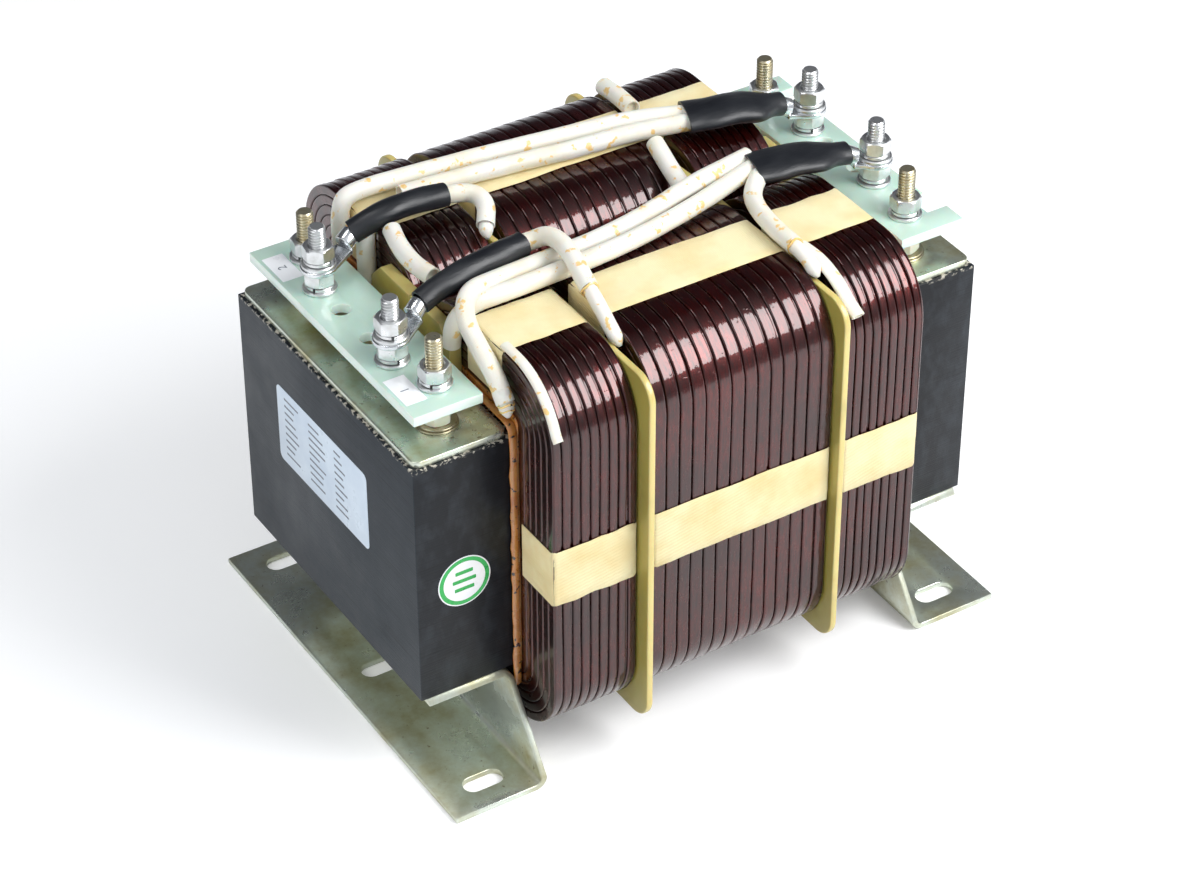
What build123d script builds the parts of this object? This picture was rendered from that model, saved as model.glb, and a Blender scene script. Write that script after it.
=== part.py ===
from build123d import *
import math
import os

os.makedirs("parts", exist_ok=True)

# Open single phase power transformer, in millimetres.
# The core lies flat: two legs run along X, and a yoke closes each end.
# The origin is the middle of the footprint, at floor level, with Z up.

# Core of stacked steel sheet
limb_width = 50.0
core_stack = 129.0
core_bottom = 50.0

# Clamp plates and mounting brackets
plate_thickness = 3.5
plate_corner = 4.0
plate_inset = 1.5
sheet_thickness = 3.0
bend_radius = 3.0
foot_reach = 1.1
foot_overhang = 31.0
web_setback = 3.0
flange_width = 44.0
slot_length = 20.0
slot_width = 10.0
slot_end_distance = 16.3
slot_edge_distance = 23.5

# Windings, each in three sections along its leg
wrap_thickness = 1.0
top_filling = 9.1
winding_clearance = 0.3
winding_build = 29.1
bore_corner = 4.0
left_width = 43.6
middle_width = 95.8
right_width = 42.1
narrow_turns = 9
middle_turns = 14
groove_depth = 0.9
groove_width = 1.3
coil_gap = 0.8

# Laminate plates beside the sections, and packing at the window's ends
spacer_thickness = 3.5
spacer_front = 8.3
spacer_top_inset = 2.0
spacer_bottom_inset = 1.0
spacer_corner = 12.0
section_gap = 0.6
left_opening = 4.4
right_opening = 3.1
packing_thickness = 1.5
head_thickness = 6.4
head_reach = 35.3
head_below = 9.0
head_chamfer = 9.0

# Cotton tape
tape_width = 30.0
tape_thickness = 0.5
tape_inset = 2.0

# Fasteners, all M8
thread_diameter = 8.0
hole_clearance = 1.0
nut_flats = 13.0
nut_height = 6.8
washer_diameter = 16.0
washer_thickness = 1.6
nut_bore = 8.6
spring_washer_diameter = 13.5
spring_washer_thickness = 2.1
spring_washer_split = 1.2
stud_chamfer = 1.0
clamp_stud_y = 57.9
clamp_stud_above = 25.0
clamp_stud_below = 5.0

# Terminal boards
board_thickness = 5.0
board_gap = 15.8
board_inner_edge = 14.1
left_board_width = 34.5
right_board_width = 32.0
board_length = 150.4
tab_reach = 3.0
tab_width = 13.0
notch_depth = 8.0
notch_length = 14.0
bolt_head = 5.3
wide_washer_diameter = 20.0
wide_washer_thickness = 2.0
left_terminal_offset = 7.0
right_terminal_offset = 4.5
left_terminal_y = 32.8
right_terminal_y = 26.9
terminal_stud_above = 33.3
spare_hole_y = 13.0

# Crimped lugs: a flat palm, and a barrel bent up that takes the conductor
lug_diameter = 17.0
lug_thickness = 2.5
barrel_diameter = 9.0
barrel_length = 7.0
barrel_tilt = 25.0
palm_under_barrel = 2.0

# Leads in woven sleeves, which end in shrunk tubes at the lugs
sleeve_diameter = 8.6
shrink_gap = 0.5

# Places worked out from the sizes above
core_top = core_bottom + core_stack
plate_top = core_top + plate_thickness
wrapped_width = limb_width + 2 * wrap_thickness
wrapped_height = core_stack + wrap_thickness + top_filling
wrap_middle_z = core_bottom - wrap_thickness + wrapped_height / 2
bore_width = wrapped_width + 2 * winding_clearance
bore_height = wrapped_height + 2 * winding_clearance
leg_y = coil_gap / 2 + winding_build + bore_width / 2
core_depth = 2 * leg_y + limb_width
sections_width = left_width + middle_width + right_width
coil_length = sections_width + 2 * (section_gap + spacer_thickness) + left_opening + right_opening
window_length = coil_length + 2 * (packing_thickness + winding_clearance)
core_length = window_length + 2 * limb_width
yoke_x = (core_length - limb_width) / 2
core_middle_z = core_bottom + core_stack / 2
board_bottom = plate_top + board_gap
board_top = board_bottom + board_thickness
hole_diameter = thread_diameter + hole_clearance
coil_width = bore_width + 2 * winding_build
coil_height = bore_height + 2 * winding_build
coil_top = wrap_middle_z + coil_height / 2
coil_bottom = wrap_middle_z - coil_height / 2
coil_front = leg_y + coil_width / 2
left_spacer_x = left_width - coil_length / 2 + section_gap + spacer_thickness / 2
right_spacer_x = coil_length / 2 - right_width - right_opening - spacer_thickness / 2
middle_x = left_spacer_x + spacer_thickness / 2 + left_opening + middle_width / 2
lug_bottom = board_top + washer_thickness + spring_washer_thickness + nut_height
barrel_z = lug_bottom + barrel_diameter / 2
left_terminal_x = -yoke_x - left_terminal_offset
right_terminal_x = yoke_x + right_terminal_offset

SIDES = {"left": -1, "right": 1}
COILS = {"front": -1, "back": 1}
SECTIONS = {
    "left": ((left_width - coil_length) / 2, left_width, narrow_turns),
    "middle": (middle_x, middle_width, middle_turns),
    "right": ((coil_length - right_width) / 2, right_width, narrow_turns),
}
CLAMP_PLACES = (-clamp_stud_y, clamp_stud_y)
CLAMPS = [(side * yoke_x, y) for side in SIDES.values() for y in CLAMP_PLACES]
TERMINALS = {
    "left_front": (left_terminal_x, -left_terminal_y),
    "left_back": (left_terminal_x, left_terminal_y),
    "right_front": (right_terminal_x, -right_terminal_y),
    "right_back": (right_terminal_x, right_terminal_y),
}
# Turn of each lug in degrees, and how far from the stud its barrel starts
LUGS = {
    "left_front": (24, 15.7),
    "left_back": (20, 16.7),
    "right_front": (164, 9.7),
    "right_back": (172, 10.7),
}

# Routes of the sleeved leads: each point's X and Y, and its rise above the top of the windings
SLEEVES = {
    "lead_back_outer": [
        (-104.2, 64, -22),
        (-104.2, 64.4, 2.2),
        (-98.2, 65, 8),
        (-60.7, 66.1, 5.2),
        (-20.3, 62, 5.2),
        (19.7, 56, 5.5),
        (45, 51.5, 6.5),
        (63.6, 41.6, 8),
    ],
    "lead_back_inner": [
        (-78, 54.5, 5.2),
        (-57.6, 53.1, 5.2),
        (-27.4, 50.2, 5.2),
        (12.3, 44.1, 5.5),
        (39.1, 41.2, 6.5),
        (61.7, 32.4, 7.8),
    ],
    "lead_back_stub": [(52.7, 88, 3.4), (52.6, 75, 4.9), (51.8, 61, 4.9)],
    "lead_front_upper": [
        (64.2, -7.4, 7.7),
        (35.5, -13.6, 8.6),
        (9.7, -19.8, 6),
        (-19.8, -24.4, 4.8),
        (-49.1, -25.8, 4.8),
        (-80, -29, 4.8),
        (-93.5, -32.5, 5.4),
        (-104.1, -46, 4.8),
        (-104.6, -60, -1.5),
        (-104.2, -73, -8),
        (-104.2, -82, -18),
    ],
    "lead_front_lower": [
        (63.8, -16.6, 7.2),
        (33.6, -24.7, 5.5),
        (1.7, -32.2, 5.2),
        (-27.1, -35.9, 5),
        (-50, -36.9, 4.9),
        (-77.1, -38.6, 4.9),
    ],
    "lead_left_front": [
        (-50.2, -15.6, 9.6),
        (-44.8, -20.5, 13.8),
        (-43.5, -30.5, 14.6),
        (-45, -42.5, 13.6),
        (-47.5, -57, 9),
        (-50.5, -70, 6),
    ],
    "lead_left_back": [(-62.7, 36.9, 9.6), (-52, 33, 9.5), (-50.5, 23, 8), (-57, 13.5, 3.6)],
    "lead_left_cross": [(-95.4, 31.5, 4.9), (-98.3, 19, 3.5), (-99.5, 5, 3), (-97.5, -9.5, 3.5)],
    "lead_left_drop": [(-104.2, 40.3, -5), (-104.3, 40.1, -22)],
    "lead_right_front": [(61.2, -27.4, 6.2), (54.5, -36, 5.6), (50.6, -56, 5.4), (50.4, -76, 5.2)],
    "lead_right_cross": [(44.6, 30, 5), (41.5, 10, 0.2), (39.5, -6, -2)],
}
# Routes of the shrunk tubes from their lugs on, with their width and height
SHRINKS = {
    "left_front": ([(-95, -21.5, 9), (-75.3, -18.8, 10), (-55.5, -16.4, 10)], 12.5, 11),
    "left_back": ([(-97.2, 38.6, 10), (-80, 38.6, 10.8), (-64.2, 36.8, 10)], 12.5, 11),
    "right_front": ([(91, -20.6, 8.2), (67, -16.7, 7.6)], 24, 10),
    "right_back": ([(88, 29.8, 9.6), (65.6, 36.6, 8.4)], 24, 11),
}


def save(part, name):
    """Labels a finished piece and writes it under the same name."""
    part.label = name
    export_step(part, f"parts/{name}.step")


def make_yokes():
    for side, sign in SIDES.items():
        with BuildPart() as yoke:
            with BuildSketch(Plane.XY.offset(core_bottom)):
                with Locations((sign * yoke_x, 0)):
                    Rectangle(limb_width, core_depth)
            extrude(amount=core_stack)
            with BuildSketch(Plane.XY.offset(core_bottom)):
                with Locations(*[(sign * yoke_x, y) for y in CLAMP_PLACES]):
                    Circle(hole_diameter / 2)
            extrude(amount=core_stack, mode=Mode.SUBTRACT)
        save(yoke.part, f"yoke_{side}")


def make_legs():
    """The legs, and the insulation round them, which is built up on top with filling."""
    for coil, sign in COILS.items():
        with BuildPart() as leg:
            with BuildSketch(Plane.YZ.offset(-window_length / 2)):
                with Locations((sign * leg_y, core_middle_z)):
                    Rectangle(limb_width, core_stack)
            extrude(amount=window_length)
        save(leg.part, f"leg_{coil}")
        with BuildPart() as wrap:
            with BuildSketch(Plane.YZ.offset(-coil_length / 2)):
                with Locations((sign * leg_y, wrap_middle_z)):
                    RectangleRounded(wrapped_width, wrapped_height, bore_corner - winding_clearance)
                with Locations((sign * leg_y, core_middle_z)):
                    Rectangle(limb_width, core_stack, mode=Mode.SUBTRACT)
            extrude(amount=coil_length)
        save(wrap.part, f"leg_wrap_{coil}")


def comb_outline(width, turns):
    """Half section of a winding: a flat bore side and a grooved outer side."""
    pitch = width / turns
    points = [(-width / 2, 0), (-width / 2, winding_build - groove_depth)]
    for turn in range(turns):
        start = -width / 2 + turn * pitch
        points.append((start + groove_width / 2, winding_build))
        points.append((start + pitch - groove_width / 2, winding_build))
        points.append((start + pitch, winding_build - groove_depth))
    points.append((width / 2, 0))
    return points


def make_windings():
    for coil, sign in COILS.items():
        for place, (x, width, turns) in SECTIONS.items():
            with BuildSketch(Plane.YZ.offset(x)) as bore:
                with Locations((sign * leg_y, wrap_middle_z)):
                    RectangleRounded(bore_width, bore_height, bore_corner)
            bore_top = Plane(
                origin=(x, sign * leg_y, wrap_middle_z + bore_height / 2),
                x_dir=(1, 0, 0),
                z_dir=(0, -1, 0),
            )
            with BuildPart() as winding:
                with BuildSketch(bore_top):
                    with BuildLine():
                        Polyline(*comb_outline(width, turns), close=True)
                    make_face()
                sweep(path=bore.sketch.faces()[0].outer_wire())
            save(winding.part, f"winding_{coil}_{place}")


def make_spacers():
    """Plates that part the winding sections."""
    spacer_top = coil_top - spacer_top_inset
    spacer_bottom = coil_bottom + spacer_bottom_inset
    outer_y = coil_front + spacer_front
    inner_y = coil_gap / 2
    for coil, sign in COILS.items():
        with BuildPart() as spacers:
            for x in (left_spacer_x, right_spacer_x):
                with BuildSketch(Plane.YZ.offset(x - spacer_thickness / 2)):
                    with Locations((sign * (outer_y + inner_y) / 2, (spacer_top + spacer_bottom) / 2)):
                        RectangleRounded(outer_y - inner_y, spacer_top - spacer_bottom, spacer_corner)
                    with Locations((sign * leg_y, wrap_middle_z)):
                        RectangleRounded(bore_width, bore_height, bore_corner, mode=Mode.SUBTRACT)
                extrude(amount=spacer_thickness)
        save(spacers.part, f"spacer_plates_{coil}")


def make_packing():
    """Strips that fill the window's ends, each with a thick head on the clamp plate."""
    inner_y = coil_gap / 2
    strip_y = leg_y - bore_width / 2 - winding_clearance
    head_top = coil_top - head_below
    for coil, sign in COILS.items():
        with BuildPart() as packing:
            for side in SIDES.values():
                with BuildSketch(Plane.YZ.offset(side * coil_length / 2)):
                    with BuildLine():
                        Polyline(
                            (sign * inner_y, core_bottom + winding_clearance),
                            (sign * strip_y, core_bottom + winding_clearance),
                            (sign * strip_y, plate_top),
                            (sign * inner_y, plate_top),
                            close=True,
                        )
                    make_face()
                extrude(amount=side * packing_thickness)
                with BuildSketch(Plane.YZ.offset(side * coil_length / 2)):
                    with BuildLine():
                        Polyline(
                            (sign * inner_y, plate_top),
                            (sign * head_reach, plate_top),
                            (sign * head_reach, head_top - head_chamfer),
                            (sign * (head_reach - head_chamfer), head_top),
                            (sign * inner_y, head_top),
                            close=True,
                        )
                    make_face()
                extrude(amount=side * head_thickness)
        save(packing.part, f"window_packing_{coil}")


def make_tapes():
    """Cotton bands that tie the turns of each section, on its front and its top."""
    front_z = (coil_top + coil_bottom) / 2
    depth = winding_build - tape_inset
    for coil, sign in COILS.items():
        top_y = sign * leg_y
        with BuildPart() as bands:
            for x, width, turns in SECTIONS.values():
                with BuildSketch(Plane.XY.offset(front_z - tape_width / 2)):
                    with Locations((x, sign * (coil_front - (depth - tape_thickness) / 2))):
                        Rectangle(width + 2 * tape_thickness, depth + tape_thickness)
                    with Locations((x, sign * (coil_front - winding_build / 2))):
                        Rectangle(width, winding_build, mode=Mode.SUBTRACT)
                extrude(amount=tape_width)
                with BuildSketch(Plane.XZ.offset(-top_y - tape_width / 2)):
                    with Locations((x, coil_top - (depth - tape_thickness) / 2)):
                        Rectangle(width + 2 * tape_thickness, depth + tape_thickness)
                    with Locations((x, coil_top - winding_build / 2)):
                        Rectangle(width, winding_build, mode=Mode.SUBTRACT)
                extrude(amount=tape_width)
        save(bands.part, f"tape_bands_{coil}")


def make_clamp_plates():
    for side, sign in SIDES.items():
        with BuildPart() as plate:
            with BuildSketch(Plane.XY.offset(core_top)):
                with Locations((sign * yoke_x, 0)):
                    RectangleRounded(
                        limb_width - 2 * plate_inset,
                        core_depth - 2 * plate_inset,
                        plate_corner,
                    )
                with Locations(*[(sign * yoke_x, y) for y in CLAMP_PLACES]):
                    Circle(hole_diameter / 2, mode=Mode.SUBTRACT)
            extrude(amount=plate_thickness)
        save(plate.part, f"clamp_plate_{side}")


def make_brackets():
    """Folded feet: a flange under the yoke, a sloping web and a slotted foot."""
    foot_edge = core_length / 2 + foot_reach
    web_x = window_length / 2 + web_setback
    half_foot = core_depth / 2 + foot_overhang
    profile = [
        (foot_edge, 0),
        (web_x, 0),
        (web_x, core_bottom),
        (web_x + flange_width, core_bottom),
        (web_x + flange_width, core_bottom - sheet_thickness),
        (web_x + sheet_thickness, core_bottom - sheet_thickness),
        (web_x + sheet_thickness, sheet_thickness),
        (foot_edge, sheet_thickness),
    ]
    for side, sign in SIDES.items():
        with BuildPart() as bracket:
            with BuildSketch(Plane.XZ.offset(-half_foot)):
                with BuildLine():
                    Polyline(*[(sign * x, z) for x, z in profile], close=True)
                make_face()
            extrude(amount=2 * half_foot)
            bends = bracket.edges().filter_by(Axis.Y).group_by(SortBy.LENGTH)[-1]
            near = sheet_thickness / 10
            inner = bends.filter_by(lambda e: abs(abs(e.center().X) - web_x - sheet_thickness) < near)
            outer = bends.filter_by(lambda e: abs(abs(e.center().X) - web_x) < near)
            fillet(inner, radius=bend_radius)
            fillet(outer, radius=bend_radius + sheet_thickness)
            for end in (-1, 1):
                with BuildSketch(Plane.YZ.offset(-core_length)):
                    with BuildLine():
                        Polyline(
                            (end * half_foot, sheet_thickness + bend_radius),
                            (end * core_depth / 2, core_bottom),
                            (end * core_depth / 2, core_bottom + sheet_thickness),
                            (end * half_foot * 2, core_bottom + sheet_thickness),
                            (end * half_foot * 2, sheet_thickness + bend_radius),
                            close=True,
                        )
                    make_face()
                extrude(amount=2 * core_length, mode=Mode.SUBTRACT)
            with BuildSketch(Plane.XY):
                slot_x = sign * (foot_edge - slot_edge_distance)
                slot_y = half_foot - slot_end_distance
                with Locations((slot_x, -slot_y), (slot_x, 0), (slot_x, slot_y)):
                    SlotOverall(slot_length, slot_width)
            extrude(amount=sheet_thickness, mode=Mode.SUBTRACT)
            with BuildSketch(Plane.XY.offset(core_bottom - sheet_thickness)):
                with Locations(*[(sign * yoke_x, y) for y in CLAMP_PLACES]):
                    Circle(hole_diameter / 2)
            extrude(amount=sheet_thickness, mode=Mode.SUBTRACT)
        save(bracket.part, f"bracket_{side}")


def hex_nuts(places, heights, thickness=None):
    """Plain nuts with their lower faces at each of the heights."""
    with BuildPart() as nuts:
        for height in heights:
            with BuildSketch(Plane.XY.offset(height)):
                with Locations(*places):
                    RegularPolygon(nut_flats / 2, 6, major_radius=False)
                    Circle(nut_bore / 2, mode=Mode.SUBTRACT)
            extrude(amount=thickness or nut_height)
    return nuts


def rings(places, heights, diameter, thickness, split=0):
    """Washers with their lower faces at each of the heights, cut through at the front if split."""
    with BuildPart() as washers:
        for height in heights:
            with BuildSketch(Plane.XY.offset(height)):
                with Locations(*places):
                    Circle(diameter / 2)
                    Circle(nut_bore / 2, mode=Mode.SUBTRACT)
                if split:
                    with Locations(*[(x, y - diameter / 4) for x, y in places]):
                        Rectangle(split, diameter / 2, mode=Mode.SUBTRACT)
            extrude(amount=thickness)
    return washers


def studs(places, bottom, top):
    """Round threaded rods with chamfered ends."""
    with BuildPart() as rods:
        with BuildSketch(Plane.XY.offset(bottom)):
            with Locations(*places):
                Circle(thread_diameter / 2)
        extrude(amount=top - bottom)
        chamfer(rods.edges().filter_by(GeomType.CIRCLE), length=stud_chamfer)
    return rods


def make_clamp_hardware():
    flange_bottom = core_bottom - sheet_thickness
    lower_nut = flange_bottom - washer_thickness - nut_height
    upper_spring = board_top + washer_thickness
    upper_nut = upper_spring + spring_washer_thickness
    rods = studs(CLAMPS, lower_nut - clamp_stud_below, board_top + clamp_stud_above)
    save(rods.part, "clamp_studs")
    save(hex_nuts(CLAMPS, (lower_nut, upper_nut)).part, "clamp_nuts")
    flats = rings(
        CLAMPS,
        (flange_bottom - washer_thickness, board_top),
        washer_diameter,
        washer_thickness,
    )
    save(flats.part, "clamp_washers")
    springs = rings(
        CLAMPS,
        (upper_spring,),
        spring_washer_diameter,
        spring_washer_thickness,
        spring_washer_split,
    )
    save(springs.part, "clamp_spring_washers")
    wide = rings(CLAMPS, (plate_top,), wide_washer_diameter, wide_washer_thickness)
    save(wide.part, "standoff_washers")
    standoff_base = plate_top + wide_washer_thickness
    posts = hex_nuts(CLAMPS, (standoff_base,), board_bottom - standoff_base)
    save(posts.part, "board_standoffs")


def make_terminal_boards():
    sizes = {
        "left": (left_board_width, left_terminal_x, left_terminal_y),
        "right": (right_board_width, right_terminal_x, right_terminal_y),
    }
    for side, sign in SIDES.items():
        width, terminal_x, terminal_y = sizes[side]
        inner_x = yoke_x - board_inner_edge
        outer_x = inner_x + width
        with BuildPart() as board:
            with BuildSketch(Plane.XY.offset(board_bottom)):
                with Locations((sign * (inner_x + outer_x) / 2, 0)):
                    Rectangle(width, board_length)
                if side == "right":
                    for end in (-1, 1):
                        with Locations((outer_x, end * (board_length - tab_width) / 2)):
                            Rectangle(2 * tab_reach, tab_width)
                        notch_y = end * (board_length / 2 - tab_width - notch_length / 2)
                        with Locations((outer_x, notch_y)):
                            Rectangle(2 * notch_depth, notch_length, mode=Mode.SUBTRACT)
                with Locations(*[(sign * yoke_x, y) for y in CLAMP_PLACES]):
                    Circle(hole_diameter / 2, mode=Mode.SUBTRACT)
                with Locations((terminal_x, -terminal_y), (terminal_x, terminal_y)):
                    Circle(hole_diameter / 2, mode=Mode.SUBTRACT)
                with Locations((terminal_x, -spare_hole_y), (terminal_x, spare_hole_y)):
                    Circle(hole_diameter / 2, mode=Mode.SUBTRACT)
            extrude(amount=board_thickness)
        save(board.part, f"terminal_board_{side}")


def make_terminal_hardware():
    places = list(TERMINALS.values())
    with BuildPart() as bolts:
        add(studs(places, board_bottom, board_top + terminal_stud_above).part)
        with BuildSketch(Plane.XY.offset(board_bottom - bolt_head)):
            with Locations(*places):
                RegularPolygon(nut_flats / 2, 6, major_radius=False)
        extrude(amount=bolt_head)
    save(bolts.part, "terminal_bolts")
    lower_spring = board_top + washer_thickness
    lower_nut = lower_spring + spring_washer_thickness
    upper_washer = lug_bottom + lug_thickness
    upper_spring = upper_washer + washer_thickness
    upper_nut = upper_spring + spring_washer_thickness
    save(hex_nuts(places, (lower_nut, upper_nut)).part, "terminal_nuts")
    flats = rings(places, (board_top, upper_washer), washer_diameter, washer_thickness)
    save(flats.part, "terminal_washers")
    springs = rings(
        places,
        (lower_spring, upper_spring),
        spring_washer_diameter,
        spring_washer_thickness,
        spring_washer_split,
    )
    save(springs.part, "terminal_spring_washers")


def lug_barrel(name):
    """Start of a lug's barrel, and the unit vector along it."""
    turn, reach = LUGS[name]
    flat = Vector(1, 0, 0).rotate(Axis.Z, turn)
    along = (flat + Vector(0, 0, math.tan(math.radians(barrel_tilt)))).normalized()
    return Vector(*TERMINALS[name], barrel_z) + flat * reach, along


def make_lugs():
    """Ring lugs, each turned towards its lead: a flat palm and a round crimped barrel."""
    with BuildPart() as lugs:
        for name, (x, y) in TERMINALS.items():
            turn, reach = LUGS[name]
            palm_end = reach + palm_under_barrel
            with BuildSketch(Plane(origin=(x, y, lug_bottom)).rotated((0, 0, turn))):
                Circle(lug_diameter / 2)
                with BuildLine():
                    Polyline(
                        (0, -lug_diameter / 2),
                        (reach, -barrel_diameter / 2),
                        (palm_end, -barrel_diameter / 2),
                        (palm_end, barrel_diameter / 2),
                        (reach, barrel_diameter / 2),
                        (0, lug_diameter / 2),
                        close=True,
                    )
                make_face()
                Circle(nut_bore / 2, mode=Mode.SUBTRACT)
            extrude(amount=lug_thickness)
            start, along = lug_barrel(name)
            with BuildSketch(Plane(origin=start, z_dir=along)):
                Circle(barrel_diameter / 2)
            extrude(amount=barrel_length)
    save(lugs.part, "ring_lugs")


def corner_radii(points):
    """Largest bend at each corner of a route that its two runs leave room for."""
    radii = []
    for before, corner, after in zip(points, points[1:], points[2:]):
        run_in = Vector(corner) - Vector(before)
        run_out = Vector(after) - Vector(corner)
        turn = math.radians(run_in.get_angle(run_out))
        shorter = min(run_in.length, run_out.length)
        radii.append(0.45 * shorter / math.tan(turn / 2))
    return radii


def make_lead(name, points, diameter, height=None):
    """A round or flattened sleeve that follows straight runs joined by arcs."""
    radii = corner_radii(points)
    start = Vector(points[0])
    ahead = (Vector(points[1]) - start).normalized()
    across = ahead.cross(Vector(0, 0, 1)).normalized()
    with BuildPart() as lead:
        with BuildLine() as route:
            if radii:
                FilletPolyline(*points, radius=radii)
            else:
                Line(*points)
        with BuildSketch(Plane(origin=start, x_dir=across, z_dir=ahead)) as section:
            if height:
                Ellipse(diameter / 2, height / 2)
            else:
                Circle(diameter / 2)
        sweep(path=route.wires()[0])
    area = section.sketch.area
    length = route.wires()[0].length
    share = lead.part.volume / (area * length)
    bends = [round(radius, 1) for radius in radii]
    print(name, "length", round(length, 1), "bends", bends, "volume share", round(share, 3))
    save(lead.part, name)


def make_leads():
    for name, route in SLEEVES.items():
        make_lead(name, [(x, y, coil_top + rise) for x, y, rise in route], sleeve_diameter)
    for name, (route, width, height) in SHRINKS.items():
        points = [Vector(x, y, coil_top + rise) for x, y, rise in route]
        start, along = lug_barrel(name)
        lug_end = start + along * barrel_length
        lean = math.radians(along.get_angle(points[0] - lug_end))
        points.insert(0, lug_end + along * (barrel_diameter / 2 * math.tan(lean) + shrink_gap))
        make_lead(f"shrink_{name}", points, width, height)


make_yokes()
make_legs()
make_windings()
make_spacers()
make_packing()
make_tapes()
make_clamp_plates()
make_brackets()
make_clamp_hardware()
make_terminal_boards()
make_terminal_hardware()
make_lugs()
make_leads()
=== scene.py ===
import bpy
import bmesh
import math
import random
from mathutils import Matrix, Vector, noise


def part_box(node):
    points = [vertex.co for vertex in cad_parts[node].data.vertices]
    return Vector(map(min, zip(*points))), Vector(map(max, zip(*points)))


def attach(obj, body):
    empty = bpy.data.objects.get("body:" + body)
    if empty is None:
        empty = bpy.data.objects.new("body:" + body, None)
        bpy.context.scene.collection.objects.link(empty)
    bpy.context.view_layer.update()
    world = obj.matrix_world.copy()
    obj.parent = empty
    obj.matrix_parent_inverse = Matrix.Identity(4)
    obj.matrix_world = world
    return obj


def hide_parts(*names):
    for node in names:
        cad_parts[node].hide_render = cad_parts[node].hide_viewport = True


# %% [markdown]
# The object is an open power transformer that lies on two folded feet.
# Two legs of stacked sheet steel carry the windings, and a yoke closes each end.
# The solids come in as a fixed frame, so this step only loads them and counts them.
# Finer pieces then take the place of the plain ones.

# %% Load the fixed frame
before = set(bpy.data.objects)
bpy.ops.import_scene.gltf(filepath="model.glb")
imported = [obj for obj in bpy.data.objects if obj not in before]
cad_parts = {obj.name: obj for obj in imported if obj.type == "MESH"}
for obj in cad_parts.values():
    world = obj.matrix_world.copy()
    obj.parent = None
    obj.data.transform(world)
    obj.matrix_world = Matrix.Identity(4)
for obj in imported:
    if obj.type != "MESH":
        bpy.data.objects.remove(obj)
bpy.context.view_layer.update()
MM = 0.001
dice = random.Random(11)
print("pieces loaded:", len(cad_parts))

# %% [markdown]
# The camera stands where a photographer would stand, with a long lens,
# above the object and to the left of its front winding.
# Its place was fitted to the corners of the core, the feet, the boards and the studs.

# %% Place the camera
CAMERA_TURN = -0.5619983
CAMERA_RISE = 0.6438412
CAMERA_DISTANCE = 1.6913
CAMERA_TARGET = Vector((-0.0147, -0.0162, 0.0980))
CAMERA_LENS = 107.770


def stand(name, data):
    """Puts new data into the scene as an object."""
    thing = bpy.data.objects.new(name, data)
    bpy.context.collection.objects.link(thing)
    return thing


def place_camera():
    data = bpy.data.cameras.new("camera")
    data.lens = CAMERA_LENS
    camera = stand("camera", data)
    flat = math.cos(CAMERA_RISE)
    back = Vector((math.sin(CAMERA_TURN) * flat, -math.cos(CAMERA_TURN) * flat, math.sin(CAMERA_RISE)))
    camera.location = CAMERA_TARGET + back * CAMERA_DISTANCE
    camera.rotation_euler = back.to_track_quat("Z", "Y").to_euler()
    bpy.context.scene.camera = camera
    return camera


print("camera at", tuple(round(v, 3) for v in place_camera().location))

# %% [markdown]
# Every piece ends the same way: a mesh, a finish, the body it rides on and the solid it stands for.
# One helper does all of that, so that the cells below only have to describe shapes.

# %% Turn points and faces into a piece
def add_piece(name, mesh, finish, nodes=(), sharp=40):
    piece = stand(name, mesh)
    mesh.materials.clear()
    mesh.materials.append(finish)
    mesh.shade_smooth()
    mesh.set_sharp_from_angle(angle=math.radians(sharp))
    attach(piece, "root")
    if nodes:
        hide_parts(*nodes)
    return piece


def build_piece(name, points, faces, finish, slot, nodes=(), sharp=40, lengths=None):
    mesh = bpy.data.meshes.new(name)
    mesh.from_pydata([tuple(c * MM for c in p) for p in points], [], faces)
    if lengths:
        layer = mesh.uv_layers.new(name="along")
        for loop in mesh.loops:
            layer.data[loop.index].uv = lengths[loop.vertex_index]
    mesh.validate()
    return add_piece(name, mesh, finish, nodes, sharp)


def grid_faces(rows, columns, wrap_rows=False):
    """Faces of a grid that closes round its columns, and if asked round its rows."""
    faces = []
    for row in range(rows if wrap_rows else rows - 1):
        after = (row + 1) % rows
        for column in range(columns):
            beside = (column + 1) % columns
            corners = (row, column), (row, beside), (after, beside), (after, column)
            faces.append([r * columns + c for r, c in corners])
    return faces


def heading(route, index):
    """Direction in which a route runs at one of its points."""
    before, after = route[max(index - 1, 0)], route[min(index + 1, len(route) - 1)]
    return (Vector(after) - Vector(before)).normalized()


print("helpers ready")

# %% [markdown]
# A finish is a small recipe: a base colour that drifts a little, a gloss that drifts too,
# and a fine relief. The helpers below keep each recipe to a few lines. They add to the
# finish that was started last.

# %% Helpers that mix finishes
mixing = {}


def start_finish(name, **sockets):
    finish = bpy.data.materials.new(name)
    finish.use_nodes = True
    mixing.update(finish=finish, tree=finish.node_tree)
    surface = finish.node_tree.nodes["Principled BSDF"]
    for socket, value in sockets.items():
        surface.inputs[socket.replace("_", " ")].default_value = value


def put(kind, inputs=None, output=0, **settings):
    """Adds a node, fills its sockets with values or other nodes' outputs, and returns an output."""
    tree = mixing["tree"]
    made = tree.nodes.new("ShaderNode" + kind)
    for key, value in settings.items():
        setattr(made, key, value)
    for key, value in (inputs or {}).items():
        if isinstance(value, bpy.types.NodeSocket):
            tree.links.new(value, made.inputs[key])
        else:
            made.inputs[key].default_value = value
    return made.outputs[output]


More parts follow.
